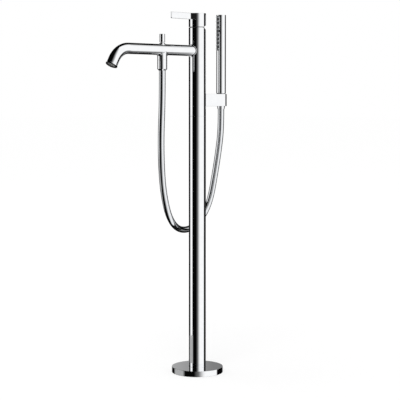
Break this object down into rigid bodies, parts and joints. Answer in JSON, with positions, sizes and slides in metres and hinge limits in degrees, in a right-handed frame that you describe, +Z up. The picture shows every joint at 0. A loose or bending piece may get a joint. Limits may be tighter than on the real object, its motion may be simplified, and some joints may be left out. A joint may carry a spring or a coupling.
{
  "type": "floor standing bath filler",
  "caption": "Round floor column with a lever mixer on top, a fixed bent spout with a pull-up diverter, and a stick handset on a hose in a side holder.",
  "frame": {"origin": "centre of the floor plate's bolt circle, on the floor, on the column's axis", "axes": "+Z up the column, spout and lever to -Y, holder and handset to +Y"},
  "size_m": [0.126, 0.3888, 0.881],
  "materials": {
    "chrome": "polished chrome plate on brass",
    "brass": "bare turned brass",
    "steel": "plain stainless steel",
    "supply": "drawn stainless tube",
    "seal": "black EPDM",
    "acetal": "natural acetal",
    "black_plastic": "moulded black acetal",
    "ceramic": "lapped alumina ceramic",
    "nozzle": "grey silicone",
    "hose": "smooth metallic PVC sleeve",
    "aerator": "moulded grey acetal"
  },
  "bodies": {
    "root": {"foot_plate": "steel", "foot_block": "brass", "foot_block_screws": "steel", "column_tube": "chrome", "column_coupling": "brass", "coupling_o_rings": "seal", "hot_supply_pipe": "supply", "cold_supply_pipe": "supply", "pipe_o_rings": "seal", "mixer_body": "chrome", "valve_block": "brass", "cartridge_base_seals": "seal", "cartridge_base": "acetal", "ceramic_disc_fixed": "ceramic", "cartridge_housing": "acetal", "cartridge_retaining_nut": "brass", "spout_tube": "chrome", "spout_nipple": "brass", "spout_o_rings": "seal", "aerator_housing": "black_plastic", "aerator_insert": "aerator", "aerator_washer": "seal", "diverter_body": "brass", "diverter_bonnet": "chrome", "bonnet_o_ring": "seal", "diverter_spring": "steel", "hose_outlet_nipple": "brass", "non_return_valve": "acetal", "spout_hose_washer": "seal", "hose_nut": "chrome", "hose_ferrule_spout": "chrome", "shower_hose": "hose", "handset_holder": "chrome", "holder_bush": "black_plastic", "holder_screw": "steel"},
    "temperature_carrier": {"cartridge_turntable": "acetal", "stem_pivot_pin": "steel"},
    "handle": {"handle_cap": "chrome", "lever_blade": "chrome", "handle_grub_screw": "steel", "grub_screw_plug": "chrome", "cartridge_stem": "brass"},
    "moving_disc": {"disc_driver": "acetal", "ceramic_disc_moving": "ceramic"},
    "diverter": {"diverter_knob": "chrome", "diverter_stem": "steel", "diverter_seals": "seal"},
    "hose_end": {"hose_ferrule_handset": "chrome"},
    "handset": {"handset_tube": "chrome", "handset_connector": "brass", "handset_waterway": "acetal", "nozzle_strip": "nozzle", "handset_end_cap": "chrome", "handset_cone_nut": "chrome", "handset_washer": "seal"},
    "rosette": {"floor_rosette": "chrome", "rosette_o_ring": "seal"}
  },
  "joints": [
    {"name": "handle_temperature", "type": "hinge", "parent": "root", "child": "temperature_carrier", "pos_m": [0, 0, 0.838], "axis": [0, 0, 1], "range_deg": [-50, 50]},
    {"name": "handle_flow", "type": "hinge", "parent": "temperature_carrier", "child": "handle", "pos_m": [0, 0, 0.838], "axis": [-1, 0, 0], "range_deg": [0, 25]},
    {"name": "disc_slide", "type": "slide", "parent": "temperature_carrier", "child": "moving_disc", "axis": [0, -1, 0], "range_m": [0, 0.00296]},
    {"name": "diverter_pull", "type": "slide", "parent": "root", "child": "diverter", "axis": [0, 0, 1], "range_m": [0, 0.0049], "stiffness_N_per_m": 150, "springref_m": -0.005, "deforming": ["diverter_spring"]},
    {"name": "handset_lift", "type": "slide", "parent": "root", "child": "hose_end", "axis": [0, 0, 1], "range_m": [0, 0.06]},
    {"name": "handset_turn", "type": "hinge", "parent": "hose_end", "child": "handset", "pos_m": [0, 0.084, 0.7], "axis": [0, 0, 1], "continuous": true},
    {"name": "rosette_lift", "type": "slide", "parent": "root", "child": "rosette", "axis": [0, 0, 1], "range_m": [0, 0.12]}
  ],
  "couplings": [
    {"joint": "disc_slide", "follows": "handle_flow", "m_per_rad": 0.00678}
  ]
}
